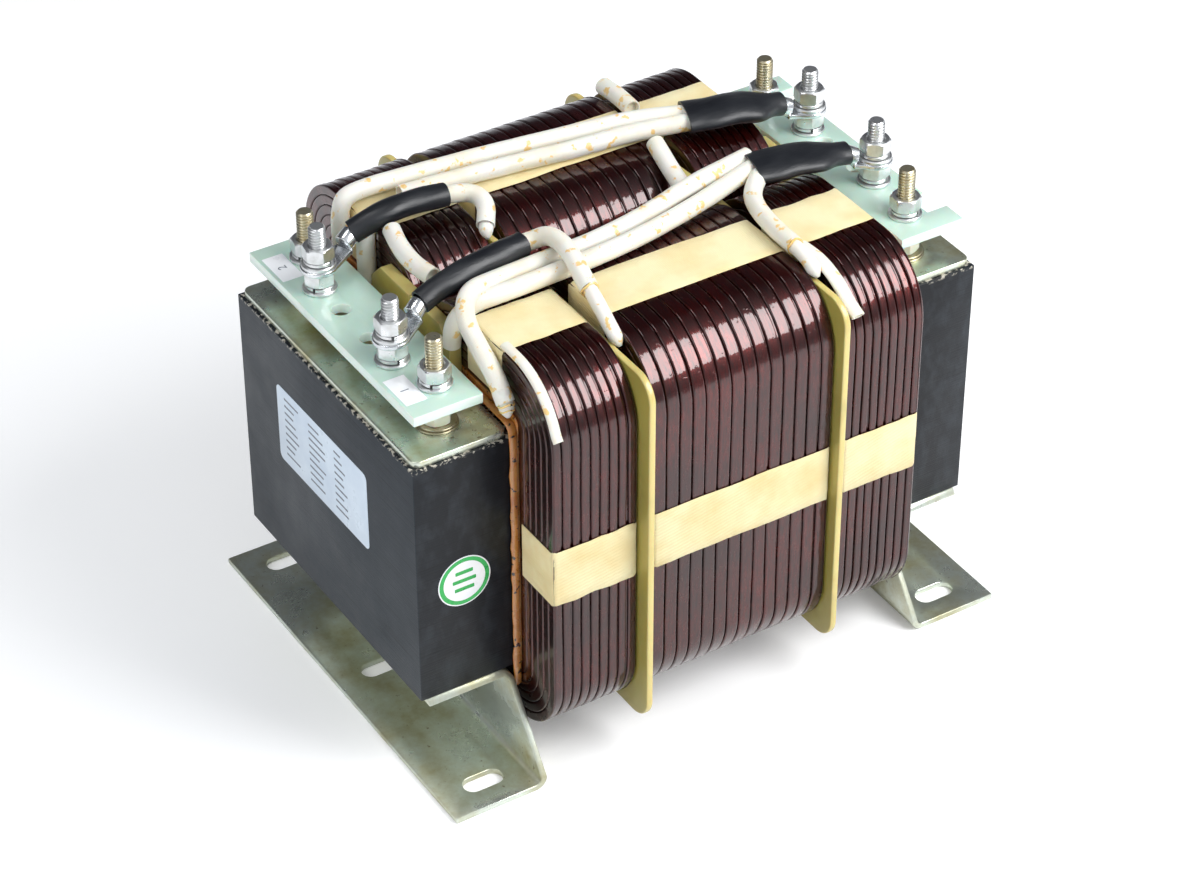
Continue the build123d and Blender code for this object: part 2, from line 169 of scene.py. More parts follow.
def speckle(scale, detail=4, stretch=(1, 1, 1), roughness=0.55):
    """Soft random pattern in the object's own space, stretched along chosen axes."""
    spot = put("TexCoord", output="Object")
    spot = put("Mapping", {"Vector": spot, "Scale": stretch})
    wanted = {"Vector": spot, "Scale": scale, "Detail": detail, "Roughness": roughness}
    return put("TexNoise", wanted)


def steps(value, low, high, start=0.0, end=1.0):
    """Maps one range of values onto another and holds it there."""
    wanted = {0: value, 1: low, 2: high, 3: start, 4: end}
    return put("MapRange", wanted, clamp=True)


def mix(share, first, second):
    return put("Mix", {0: share, 6: first, 7: second}, output=2, data_type="RGBA")


def sums(how, first, second=0.0):
    return put("Math", {0: first, 1: second}, operation=how)


def facing(axis):
    """How squarely the surface faces along one axis, as 0 to 1."""
    normal = put("NewGeometry", output="Normal")
    part = put("SeparateXYZ", {0: normal}, output=axis)
    return sums("ABSOLUTE", part)


def place(axis):
    """Where a point lies along one axis of the shared frame, in metres."""
    spot = put("TexCoord", output="Object")
    return put("SeparateXYZ", {0: spot}, output=axis)


def join(value, socket, node="Principled BSDF"):
    """Joins a value to the surface, or to another node that the finish came with."""
    tree = mixing["tree"]
    tree.links.new(value, tree.nodes[node].inputs[socket])


def end_finish(colour, rough, height, strength, depth, bumped=("Normal",)):
    """Joins the colour, the gloss and the relief to the surface and hands the finish over."""
    join(colour, "Base Color")
    join(rough, "Roughness")
    bump = put("Bump", {"Height": height, "Strength": strength, "Distance": depth})
    for socket in bumped:
        join(bump, socket)
    return mixing["finish"]


print("finish helpers ready")

# %% [markdown]
# The wire is flat copper in dark red enamel, dipped in clear varnish.
# The varnish is what catches the light: a thin hard coat with drips and small beads in it.
# Its relief also drives the coat, so the pale band on the shoulders gets ragged ends.
# Metal under the colour keeps the straps near black where they mirror nothing bright.

# %% Finish of the enamelled wire
def wire_finish():
    start_finish("enamelled wire", Coat_Weight=1.0, Coat_Roughness=0.02, Coat_IOR=1.55, Metallic=0.8)
    broad = speckle(22, 5)
    streak = speckle(160, 3, (6, 1, 1))
    colour = mix(steps(broad, 0.3, 0.7), (0.024, 0.0015, 0.001, 1), (0.095, 0.0045, 0.0025, 1))
    colour = mix(steps(streak, 0.35, 0.75), colour, (0.018, 0.0025, 0.002, 1))
    drips = speckle(170, 4, (2.2, 0.55, 0.55), 0.5)
    beads = steps(speckle(420, 2), 0.66, 0.74)
    height = sums("ADD", drips, sums("MULTIPLY", beads, 0.5))
    gloss = steps(streak, 0.2, 0.8, 0.24, 0.36)
    return end_finish(colour, gloss, height, 0.2, 0.0006, ("Normal", "Coat Normal"))


WIRE = wire_finish()
print("made", WIRE.name)

# %% [markdown]
# Each winding section is wound in layers, so its ends show the layers' rounded edges
# and its outer side shows one strap beside the next, with dark gaps that wander.
# The profile below is one cut through a section; it is carried round the leg
# and nudged a little from turn to turn, as winding by hand does. All sizes are millimetres.

# %% Wind the six sections
LAYERS = 6
TURNS = {"left": 9, "middle": 14, "right": 9}
BORE_CORNER = 4.0
BORE_PLAY = 0.3
STRAP_GAPS = (0.2, 0.55)
LAYER_GAP = 0.05
SKIN = 0.1
END_ROUNDING = 0.9
HAND_SWAY = 0.3
HAND_DIP = 0.45
EDGE_SHAPE = ((0.0, 1.1), (0.1, 0.45), (0.35, 0.12), (0.7, 0.0), (1.0, 0.0))


def strap_edge(start, end):
    """Places across one strap, with how far each lies below its face in millimetres."""
    rising = [(start + across, depth) for across, depth in EDGE_SHAPE]
    falling = [(end - across, depth) for across, depth in reversed(EDGE_SHAPE)]
    return rising + falling


def section_profile(width, turns, build):
    """Closed cut through a section as (place along the leg, height, number of the turn)."""
    half = width / 2
    layer = build / LAYERS
    edges = [strap_edge(n * layer + LAYER_GAP, (n + 1) * layer - LAYER_GAP) for n in range(LAYERS)]
    profile = []
    for edge in edges:
        profile += [(-half + SKIN + depth * END_ROUNDING, height, -1) for height, depth in edge[:-1]]
    pitch = width / turns
    for turn in range(turns):
        gap = dice.uniform(*STRAP_GAPS)
        for along, depth in strap_edge(-half + turn * pitch + gap, -half + (turn + 1) * pitch - gap):
            profile.append((along, build - SKIN - depth, turn))
    for edge in reversed(edges):
        edge = reversed(edge[1:])
        profile += [(half - SKIN - depth * END_ROUNDING, height, turns) for height, depth in edge]
    return profile


def loop_places(width, height, corner, flat_steps=9, corner_steps=14):
    """Places round a rounded rectangle, each with the direction that faces outwards."""
    places = []
    half_y, half_z = width / 2 - corner, height / 2 - corner
    corners = ((half_y, half_z, 0), (-half_y, half_z, 90), (-half_y, -half_z, 180), (half_y, -half_z, 270))
    for index, (y, z, turn) in enumerate(corners):
        for step in range(corner_steps + 1):
            angle = math.radians(turn + 90 * step / corner_steps)
            places.append((y, z, math.cos(angle), math.sin(angle)))
        next_y, next_z, next_turn = corners[(index + 1) % 4]
        angle = math.radians(next_turn)
        for step in range(1, flat_steps):
            share = step / flat_steps
            along = (y + (next_y - y) * share, z + (next_z - z) * share)
            places.append((*along, math.cos(angle), math.sin(angle)))
    return places


def wind_section(coil, where):
    node = f"winding_{coil}_{where}"
    low, high = (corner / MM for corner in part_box(node))
    leg_low, leg_high = (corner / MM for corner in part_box(f"leg_wrap_{coil}"))
    bore_width = leg_high.y - leg_low.y + 2 * BORE_PLAY
    bore_height = leg_high.z - leg_low.z + 2 * BORE_PLAY
    build = ((high.y - low.y) - bore_width) / 2
    centre = (low + high) / 2
    profile = section_profile(high.x - low.x, TURNS[where], build)
    nudges = [dice.uniform(0, 40) for _ in range(TURNS[where] + 2)]
    points = []
    loop = loop_places(bore_width, bore_height, BORE_CORNER)
    for y, z, out_y, out_z in loop:
        for along, height, turn in profile:
            seed = Vector((nudges[turn + 1], (y + out_y * 20) * 0.03, (z + out_z * 20) * 0.03))
            inner = 0 < turn + 1 < TURNS[where] + 1
            sway = noise.noise(seed) * HAND_SWAY if inner else 0
            dip = abs(noise.noise(seed + Vector((9, 0, 0)))) * HAND_DIP if inner else 0
            reach = BORE_CORNER + height - dip
            points.append(centre + Vector((along + sway, y + out_y * reach, z + out_z * reach)))
    faces = grid_faces(len(loop), len(profile), wrap_rows=True)
    return build_piece(node + "_wound", points, faces, WIRE, "enamelled_wire", [node], sharp=60)


for coil in ("front", "back"):
    for where in TURNS:
        piece = wind_section(coil, where)
        print(piece.name, len(piece.data.polygons), "faces")

# %% [markdown]
# Many parts are cut or folded sheet with edges that a file has broken.
# Where the plain solid already has the right outline, a copy of it is cleaned
# and all its sharp edges are rounded a little, so that they catch a line of light.

# %% Helper that breaks the sharp edges of a solid
def soften(node, width, finish, rounds=2, reshape=None):
    """Takes a solid's own form, moves its corners if asked, and rounds its sharp edges."""
    shape = bmesh.new()
    shape.from_mesh(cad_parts[node].data)
    bmesh.ops.remove_doubles(shape, verts=shape.verts, dist=1e-6)
    if reshape:
        for corner in shape.verts:
            corner.co = reshape(corner.co / MM) * MM
    bmesh.ops.dissolve_limit(shape, angle_limit=math.radians(0.6), verts=shape.verts, edges=shape.edges)
    sharp = [e for e in shape.edges if len(e.link_faces) == 2 and e.calc_face_angle() > math.radians(28)]
    bmesh.ops.bevel(shape, geom=sharp, offset=width * MM, segments=rounds, affect="EDGES", profile=0.5)
    mesh = bpy.data.meshes.new(node + "_soft")
    shape.to_mesh(mesh)
    shape.free()
    return add_piece(node + "_soft", mesh, finish, [node])


print("soften ready")

# %% [markdown]
# The yokes are stacked sheet under brushed black paint. The sheets lie flat, so their
# edges show as very fine level lines, and the paint is worn off in specks along the top edge.

# %% Finish and form of the core
WORN_FROM_TO = (0.1773, 0.1789)


def core_finish():
    start_finish("core paint", Coat_Weight=0.12, Coat_Roughness=0.2, Specular_IOR_Level=0.25)
    lines = speckle(1, 4, (25, 25, 1500))
    brush = speckle(1, 5, (160, 70, 90))
    cloud = speckle(18, 4)
    # Painted light: the faces that look left and right get a lighter grey than the fronts, as if lit from the
    # left.
    side = facing(0)
    colour = mix(side, (0.004, 0.005, 0.0075, 1), (0.020, 0.027, 0.035, 1))
    colour = mix(steps(brush, 0.45, 0.75, 0, 0.55), colour, (0.030, 0.037, 0.046, 1))
    colour = mix(steps(lines, 0.3, 0.45, 0.5, 0), colour, (0.002, 0.002, 0.003, 1))
    top = steps(place(2), *WORN_FROM_TO)
    specks = steps(speckle(420, 4), 0.52, 0.58)
    bare = sums("MULTIPLY", top, specks)
    colour = mix(bare, colour, (0.48, 0.45, 0.38, 1))
    height = sums("ADD", sums("MULTIPLY", lines, 0.7), sums("MULTIPLY", brush, 0.6))
    return end_finish(colour, steps(cloud, 0.3, 0.7, 0.34, 0.6), height, 0.35, 0.0005)


CORE = core_finish()
for side in ("left", "right"):
    soften("yoke_" + side, 0.5, CORE)
for coil in ("front", "back"):
    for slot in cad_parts["leg_" + coil].material_slots:
        slot.link = "OBJECT"
        slot.material = CORE
print("core done")

# %% [markdown]
# The clamp plates and the feet are zinc plated sheet. Flux, glue and thumbs have left
# yellow green clouds on them, and the sheared edges are brighter than the faces.

# %% Finish and form of the sheet steel
def zinc_finish(name, tint, stain, share):
    start_finish(name, Metallic=0.85, Specular_IOR_Level=0.6)
    cloud = speckle(26, 6, roughness=0.65)
    grain = speckle(70, 5, (1, 0.25, 1))
    spots = speckle(330, 3)
    colour = mix(steps(grain, 0.3, 0.7, 0, 0.5), tint, tuple(0.8 * c for c in tint[:3]) + (1,))
    colour = mix(steps(cloud, 0.44, 0.66, 0, share), colour, stain)
    colour = mix(steps(spots, 0.66, 0.72, 0, 0.7), colour, (0.24, 0.19, 0.10, 1))
    rough = steps(cloud, 0.3, 0.7, 0.2, 0.45)
    return end_finish(colour, rough, speckle(500, 4), 0.12, 0.0003)


ZINC = zinc_finish("zinc feet", (0.76, 0.82, 0.73, 1), (0.44, 0.40, 0.20, 1), 0.9)
PLATE = zinc_finish("zinc plates", (0.72, 0.78, 0.68, 1), (0.47, 0.41, 0.17, 1), 0.95)
for side in ("left", "right"):
    soften("clamp_plate_" + side, 0.5, PLATE)
    soften("bracket_" + side, 0.45, ZINC)
print("sheet steel done")

# %% [markdown]
# The insulation is three kinds of sheet: yellow olive plates between the winding sections,
# pale green boards under the terminals, and an orange brown wrap round the legs,
# which varnish has soaked through.

# %% Finishes and forms of the sheet insulation
def laminate_finish(name, face, edge, glow, edge_axis=2):
    start_finish(name, Coat_Weight=0.6, Coat_Roughness=0.12, Subsurface_Weight=glow, Subsurface_Scale=0.004)
    cloud = speckle(35, 5)
    weave = speckle(600, 2)
    flat = steps(facing(edge_axis), 0.6, 0.9)
    colour = mix(flat, edge, face)
    deeper = tuple(c * c * 1.1 for c in face[:3]) + (1,)
    colour = mix(steps(cloud, 0.5, 0.8, 0, 0.35), colour, deeper)
    return end_finish(colour, steps(cloud, 0.3, 0.7, 0.3, 0.45), weave, 0.05, 0.0003)


BOARD = laminate_finish("terminal board", (0.50, 0.67, 0.58, 1), (0.72, 0.85, 0.78, 1), 0.3, 2)
SPACER = laminate_finish("spacer plate", (0.36, 0.30, 0.065, 1), (0.62, 0.52, 0.18, 1), 0.25, 0)
for side in ("left", "right"):
    soften("terminal_board_" + side, 0.35, BOARD)


TOP_FROM, OUTER_FROM, FRONT_FROM = 190, 90, -105
TRIM_TOP, TRIM_BACK_TOP, TRIM_FRONT = 3.2, 10, 2.4


def trim_spacer(corner):
    """Lowers the plates' tops below the windings' and draws the right one's front edge in."""
    if corner.z > TOP_FROM:
        corner.z -= TRIM_BACK_TOP if corner.y > OUTER_FROM else TRIM_TOP
    if corner.x > 0 and corner.y < FRONT_FROM:
        corner.y += TRIM_FRONT
    return corner


for coil in ("front", "back"):
    soften("spacer_plates_" + coil, 0.9, SPACER, 3, trim_spacer)
    soften("window_packing_" + coil, 0.8, SPACER, 3)


def varnish_finish(name, deep, pale):
    start_finish(name, Coat_Weight=1.0, Coat_Roughness=0.06, Subsurface_Weight=0.3, Subsurface_Scale=0.003)
    cloud = speckle(60, 5)
    dirt = steps(speckle(330, 3), 0.62, 0.65)
    colour = mix(steps(cloud, 0.35, 0.7), deep, pale)
    colour = mix(dirt, colour, (0.02, 0.01, 0.005, 1))
    rough = steps(cloud, 0.3, 0.7, 0.15, 0.4)
    return end_finish(colour, rough, speckle(130, 3), 0.4, 0.0008)


VARNISH = varnish_finish("caramel varnish", (0.42, 0.14, 0.022, 1), (0.64, 0.29, 0.065, 1))
for coil in ("front", "back"):
    soften("leg_wrap_" + coil, 0.3, VARNISH)
print("insulation done")

# %% [markdown]
# Varnish has also run into the seam between each yoke and the windings. It fills the slot
# beside the leg, stands a little proud of the yoke, and ends in an uneven edge.

# %% Run varnish into the seams
SEAM_SIDES = 10


def varnish_seam(name, side, sign):
    """A bead down the front of the slot and over its top, with an edge that wanders."""
    coil_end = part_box("winding_front_left")[0].x / MM
    inner, outer = abs(coil_end) + 0.1, abs(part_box("clamp_plate_left")[1].x / MM) + 1.0
    wrap_low, wrap_high = (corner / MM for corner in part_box("leg_wrap_front"))
    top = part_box("clamp_plate_left")[1].z / MM
    out_y, in_y = abs(wrap_low.y), abs(wrap_high.y)
    route = [(out_y - 3, 36), (out_y + 0.4, 40)]
    route += [(out_y + 0.4, 40 + (top - 46) * share / 24) for share in range(1, 25)]
    route += [(out_y - 0.6, top + 0.5), (out_y - 3, top + 2.6)]
    route += [(out_y - 3 - (out_y - in_y - 5) * share / 10, top + 3) for share in range(1, 11)]
    points = []
    for index, (y, z) in enumerate(route):
        run = heading(route, index)
        out = Vector((run.y, -run.x))
        wander = noise.noise(Vector((sign * 3, index * 0.7, side)))
        half = (outer - inner) / 2 + wander * 0.7
        for step in range(SEAM_SIDES):
            angle = 2 * math.pi * step / SEAM_SIDES
            lift = math.sin(angle) * (1.0 + 0.5 * wander)
            x = (inner + outer) / 2 + wander * 0.5 + math.cos(angle) * half
            points.append((side * x, sign * (y + out.x * lift), z + out.y * lift))
    faces = grid_faces(len(route), SEAM_SIDES)
    faces += [list(range(SEAM_SIDES)), list(range(len(points) - SEAM_SIDES, len(points)))]
    return build_piece(name, points, faces, VARNISH, "leg_insulation", sharp=70)


for side, side_name in ((-1, "left"), (1, "right")):
    for sign, coil in ((-1, "front"), (1, "back")):
        varnish_seam(f"varnish_{side_name}_{coil}", side, sign)
print("seams filled")

# %% [markdown]
# Cotton tape ties the turns of each section: one band across the front and one over the top.
# It is woven, so it has a fine square relief, and it is drawn round the section's edges
# before it dives between the turns.

# %% Finish and form of the tape
def tape_finish():
    start_finish("cotton tape", Sheen_Weight=0.25, Subsurface_Weight=0.1, Subsurface_Scale=0.002)
    across = sums("SINE", sums("MULTIPLY", place(0), 5200))
    level = sums("ADD", place(1), place(2))
    down = sums("SINE", sums("MULTIPLY", level, 7600))
    weave = sums("MULTIPLY", across, down)
    cloud = speckle(45, 5)
    colour = mix(steps(cloud, 0.4, 0.72), (0.90, 0.775, 0.45, 1), (0.80, 0.61, 0.27, 1))
    # Painted shade: the hollows of the weave, where the relief is lowest, are painted darker.
    colour = mix(steps(weave, -1, -0.2, 0.3, 0), colour, (0.62, 0.50, 0.24, 1))
    creases = speckle(110, 4, (0.5, 1.5, 1.5))
    height = sums("ADD", sums("MULTIPLY", weave, 0.3), creases)
    return end_finish(colour, steps(cloud, 0.3, 0.7, 0.6, 0.85), height, 0.6, 0.0009)


TAPE = tape_finish()
TAPE_WIDTH = 30.0
TAPE_THICKNESS = 0.42
TAPE_LIFT = 0.45
TAPE_TUCK = 26
CORNER = 2.6


def tape_route(half, reach, lift):
    """Cut along a band: down one end of the section, across it and down the other end."""
    end = [(-half, -reach)]
    for step in range(7):
        angle = math.radians(180 - 15 * step)
        end.append((-half + CORNER + math.cos(angle) * CORNER, lift - CORNER + math.sin(angle) * CORNER))
    flat = [(-half + CORNER + (2 * half - 2 * CORNER) * step / 12, lift) for step in range(1, 12)]
    return end + flat + [(-x, y) for x, y in reversed(end)]


def tape_band(name, low, high, centre, outwards, along):
    """A band over a section, facing outwards, with its width lying along the other direction."""
    route = tape_route((high.x - low.x) / 2 + TAPE_LIFT, TAPE_TUCK, TAPE_LIFT)
    middle_x = (low.x + high.x) / 2
    seed = dice.uniform(0, 50)
    points = []
    for index, (x, lift) in enumerate(route):
        run = heading(route, index)
        ring = []
        for share in (-1, -0.985, -0.6, -0.2, 0.2, 0.6, 0.985, 1):
            wander = noise.noise(Vector((seed + share, index * 0.35, 0))) * 0.9
            sag = 0.12 * noise.noise(Vector((seed, index * 0.9, share * 2)))
            ring.append((share * TAPE_WIDTH / 2 + wander, sag if abs(share) < 1 else -0.2))
        ring += [(shift, raised - TAPE_THICKNESS) for shift, raised in reversed(ring[1:-1])]
        for shift, raised in ring:
            spot = Vector((middle_x + x - run.y * raised, 0, 0)) + outwards * (lift + run.x * raised)
            points.append(tuple(centre + spot + along * shift))
    faces = grid_faces(len(route), len(ring))
    return build_piece(name, points, faces, TAPE, "cotton_tape", sharp=50)


UP = Vector((0, 0, 1))
for coil, sign in (("front", -1), ("back", 1)):
    first = None
    for where in TURNS:
        low, high = (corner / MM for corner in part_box(f"winding_{coil}_{where}"))
        out = Vector((0, sign, 0))
        front_y = low.y if sign < 0 else high.y
        middle_z = (low.z + high.z) / 2
        leg_low, leg_high = (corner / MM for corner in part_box(f"leg_wrap_{coil}"))
        front = tape_band(f"tape_front_{coil}_{where}", low, high, Vector((0, front_y, middle_z)), out, UP)
        middle_y = (leg_low.y + leg_high.y) / 2
        tape_band(f"tape_top_{coil}_{where}", low, high, Vector((0, middle_y, high.z)), UP, out)
        first = first or front
    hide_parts(f"tape_bands_{coil}")
print("tape tied")

# %% [markdown]
# Threads, nuts and washers are what the eye goes to on the boards.
# A thread is a ridge that climbs one pitch a turn, so the rod's radius follows
# the height less the share of the turn. A nut is a six sided prism whose corners
# are turned off by a shallow cone at both ends. A spring washer is a split ring
# whose ends stand apart.

# %% Finishes of the hardware
def metal_finish(name, tint, second, rough=(0.26, 0.4), metallic=0.92):
    start_finish(name, Metallic=metallic)
    cloud = speckle(210, 5)
    colour = mix(steps(cloud, 0.4, 0.7), tint, second)
    gloss = steps(cloud, 0.3, 0.7, *rough)
    return end_finish(colour, gloss, speckle(1600, 3), 0.12, 0.0001)


BRIGHT = metal_finish("bright hardware", (0.83, 0.84, 0.85, 1), (0.66, 0.67, 0.66, 1))
YELLOW = metal_finish("yellow zinc", (0.72, 0.68, 0.52, 1), (0.55, 0.46, 0.27, 1), (0.22, 0.42))
BRASSY = metal_finish("dull washers", (0.50, 0.46, 0.34, 1), (0.34, 0.29, 0.18, 1), (0.3, 0.5))
TIN = metal_finish("tinned copper", (0.80, 0.82, 0.84, 1), (0.62, 0.65, 0.68, 1), (0.12, 0.28))
print("metals mixed")

# %% Shape the rods, nuts and washers
def rows_of_rings(rings, ends=True, wrap=False):
    """Joins rings of equal length into a skin, with lids or wrapped round to its start."""
    around = len(rings[0])
    points = [point for ring in rings for point in ring]
    faces = grid_faces(len(rings), around, wrap)
    if ends and not wrap:
        faces += [list(range(around))[::-1], list(range(len(points) - around, len(points)))]
    return points, faces


def circle(x, y, z, reach, around, turn=0.0):
    angles = [2 * math.pi * step / around + turn for step in range(around)]
    return [(x + math.cos(a) * reach, y + math.sin(a) * reach, z) for a in angles]


def washer_cut(bore, outer, thickness, edge):
    """Cut through a washer with broken edges, as (distance from the middle, level)."""
    return (
        (bore, edge), (bore, thickness - edge), (bore + edge, thickness), (outer - edge, thickness),
        (outer, thickness - edge), (outer, edge), (outer - edge, 0), (bore + edge, 0),
    )


def join_shapes(name, shapes, finish, slot, nodes=(), sharp=40):
    points, faces = [], []
    for some_points, some_faces in shapes:
        first = len(points)
        points += some_points
        faces += [[first + index for index in face] for face in some_faces]
    return build_piece(name, points, faces, finish, slot, nodes, sharp)


def threaded_rod(x, y, bottom, top, threaded_from, radius=3.98, pitch=1.5, around=28, a_pitch=8):
    """A rod with a plain shank, a thread above one level and a small cone at its end."""
    rings = []
    levels = [bottom, bottom + 0.01]
    count = int((top - threaded_from) / pitch * a_pitch)
    levels += [threaded_from + (top - threaded_from) * step / count for step in range(count + 1)]
    for index, z in enumerate(levels):
        ring = []
        for step in range(around):
            share = step / around
            phase = ((z - threaded_from) / pitch - share) % 1
            groove = 0.85 * min(1, max(0, 1.25 - abs(phase - 0.5) * 3.4)) if index > 2 else 0
            cone = max(0, 0.9 - (top - z)) * 0.9
            reach = min(radius - groove, radius - cone)
            angle = 2 * math.pi * share
            ring.append((x + math.cos(angle) * reach, y + math.sin(angle) * reach, z))
        rings.append(ring)
    return rows_of_rings(rings)


def hexagon_reach(angle, flats):
    """Distance from a hexagon's middle to its side in one direction."""
    return flats / 2 / math.cos((angle + math.pi / 6) % (math.pi / 3) - math.pi / 6)


def hex_nut(x, y, bottom, height, flats=13.0, bore=4.15, turn=0.0, around=72):
    rings = []
    low_cone = flats / 2 - 0.15
    levels = (0, 0.25, 0.6, 1.1, height - 1.1, height - 0.6, height - 0.25, height)
    for level in levels:
        cone = low_cone + min(level, height - level) * 1.5
        ring = []
        for step in range(around):
            angle = 2 * math.pi * step / around
            reach = min(hexagon_reach(angle, flats), cone)
            spot = angle + turn
            ring.append((x + math.cos(spot) * reach, y + math.sin(spot) * reach, bottom + level))
        rings.append(ring)
    for level, reach in ((height, bore + 0.6), (height - 0.6, bore), (0.6, bore), (0, bore + 0.6)):
        rings.append(circle(x, y, bottom + level, reach, around, turn))
    return rows_of_rings(rings, wrap=True)


def flat_washer(x, y, bottom, thickness, outer, bore=4.3, around=56):
    cut = washer_cut(bore, outer, thickness, min(0.3, thickness / 4))
    return rows_of_rings([circle(x, y, bottom + level, reach, around) for reach, level in cut], wrap=True)


def spring_washer(x, y, bottom, thickness, outer=6.75, bore=4.3, start=0.0, around=54):
    cut = washer_cut(bore, outer, thickness - 0.45, 0.25)
    rings = []
    for step in range(around + 1):
        share = step / around
        angle = start + math.radians(5) + math.radians(350) * share
        level = bottom + 0.4 * share
        rings.append([(x + math.cos(angle) * r, y + math.sin(angle) * r, level + h) for r, h in cut])
    return rows_of_rings(rings)


print("hardware shapes ready")

# %% [markdown]
# Four long studs clamp the core, the plates and the boards. Each board stands
# on a pale plastic post with two dull washers under it.
# Four bolts come up through the boards and take the ring lugs between two nuts.

# %% Fit the studs, nuts and washers
SAME_SOLID = 0.0002


def centres(node, count):
    """Middles of a node's separate solids: corners whose squared distance is small belong together."""
    spots = []
    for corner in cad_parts[node].data.vertices:
        for spot in spots:
            away = Vector((spot[0] / spot[2] - corner.co.x, spot[1] / spot[2] - corner.co.y))
            if away.length_squared < SAME_SOLID:
                spot[0] += corner.co.x
                spot[1] += corner.co.y
                spot[2] += 1
                break
        else:
            spots.append([corner.co.x, corner.co.y, 1])
    places = sorted((round(s[0] / s[2] / MM, 1), round(s[1] / s[2] / MM, 1)) for s in spots)
    assert len(places) == count, (node, places)
    return places


CLAMPS = centres("clamp_studs", 4)
TERMINALS = centres("terminal_bolts", 4)
print("clamps", CLAMPS, "terminals", TERMINALS)
board_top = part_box("terminal_board_left")[1].z / MM
board_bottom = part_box("terminal_board_left")[0].z / MM
plate_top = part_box("clamp_plate_left")[1].z / MM
clamp_low, clamp_high = (corner.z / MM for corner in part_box("clamp_studs"))
bolt_low, bolt_high = (corner.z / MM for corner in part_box("terminal_bolts"))
lug_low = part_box("ring_lugs")[0].z / MM
WASHER, SPRING, NUT, PALM, FLANGE = 1.6, 2.1, 6.8, 2.5, 3.0
WASHER_RADIUS = 8.0
DULL = 1.0


def stack(parts, x, y, z):
    """Piles a washer, a spring washer and a nut upwards and files each with its kind."""
    parts["washers"].append(flat_washer(x, y, z, WASHER, WASHER_RADIUS))
    z += WASHER
    parts["springs"].append(spring_washer(x, y, z, SPRING, start=dice.uniform(-2.6, -0.6)))
    z += SPRING
    parts["nuts"].append(hex_nut(x, y, z, NUT, turn=dice.uniform(0, 1)))


def join_kinds(where, parts):
    """Turns the piles at one set of studs into three pieces."""
    bright = (BRIGHT, "bright_hardware")
    join_shapes(f"{where}_nuts_turned", parts["nuts"], *bright, [f"{where}_nuts"], 25)
    join_shapes(f"{where}_washers_turned", parts["washers"], *bright, [f"{where}_washers"])
    join_shapes(f"{where}_springs", parts["springs"], *bright, [f"{where}_spring_washers"])


rods = []
clamp_parts, bolt_parts = ({"washers": [], "springs": [], "nuts": []} for _ in range(2))
flange_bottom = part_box("bracket_left")[1].z / MM - FLANGE
for x, y in CLAMPS:
    rods.append(threaded_rod(x, y, clamp_low, clamp_high, board_bottom))
    lower = flange_bottom - WASHER
    clamp_parts["washers"].append(flat_washer(x, y, lower, WASHER, WASHER_RADIUS))
    clamp_parts["nuts"].append(hex_nut(x, y, lower - NUT, NUT, turn=0.3))
    stack(clamp_parts, x, y, board_top)
join_shapes("clamp_rods", rods, YELLOW, "yellow_zinc", ["clamp_studs"])
join_kinds("clamp", clamp_parts)
bolts = []
for x, y in TERMINALS:
    bolts.append(threaded_rod(x, y, board_bottom, bolt_high, board_top))
    bolts.append(hex_nut(x, y, bolt_low, board_bottom - bolt_low, bore=2.0))
    stack(bolt_parts, x, y, board_top)
    stack(bolt_parts, x, y, lug_low + PALM)
join_shapes("terminal_bolts_cut", bolts, BRIGHT, "bright_hardware", ["terminal_bolts"])
join_kinds("terminal", bolt_parts)
dull, posts = [], []
for x, y in CLAMPS:
    dull.append(flat_washer(x, y, plate_top, DULL, 10.0))
    dull.append(flat_washer(x + 0.3, y + 0.2, plate_top + DULL, DULL, 9.4))
    foot = plate_top + 2 * DULL
    posts.append(hex_nut(x, y, foot, board_bottom - foot, turn=dice.uniform(0, 1)))
NYLON = laminate_finish("board posts", (0.80, 0.80, 0.62, 1), (0.84, 0.84, 0.68, 1), 0.4)
join_shapes("post_washers", dull, BRASSY, "yellow_zinc", ["standoff_washers"])
join_shapes("board_posts", posts, NYLON, "nylon", ["board_standoffs"], 25)
print("hardware fitted")

# %% [markdown]
# The lugs are stamped and crimped tinned copper: a flat ring for the stud
# and a barrel that is bent up towards its lead.

# %% Form the lugs
soften("ring_lugs", 0.6, TIN, 3)
print("lugs formed")

# %% [markdown]
# The leads run in white woven sleeves that are stiff with varnish, with amber spots
# where drops have dried. Each sleeve is a soft tube along its real route:
# a few points, rounded by cutting the corners again and again.
# Where a lead meets its lug, a black shrunk tube grips both.

# %% Finishes of sleeves and shrunk tubes
def sleeve_finish():
    start_finish(
        "woven sleeve", Subsurface_Weight=0.15, Subsurface_Scale=0.003, Coat_Weight=0.3, Coat_Roughness=0.3
    )
    spot = put("UVMap", uv_map="along")
    along = sums("MULTIPLY", put("SeparateXYZ", {0: spot}, output=0), 5200)
    around = sums("MULTIPLY", put("SeparateXYZ", {0: spot}, output=1), 150)
    left, right = (sums("SINE", sums(how, along, around)) for how in ("ADD", "SUBTRACT"))
    braid = sums("MULTIPLY", left, right)
    cloud = speckle(55, 5)
    drops = speckle(190, 3)
    colour = mix(steps(cloud, 0.45, 0.8, 0, 0.6), (0.78, 0.765, 0.70, 1), (0.72, 0.63, 0.38, 1))
    colour = mix(steps(drops, 0.61, 0.645, 0, 0.85), colour, (0.78, 0.50, 0.13, 1))
    height = sums("ADD", sums("MULTIPLY", braid, 0.3), cloud)
    return end_finish(colour, steps(drops, 0.5, 0.75, 0.55, 0.25), height, 0.35, 0.0004)


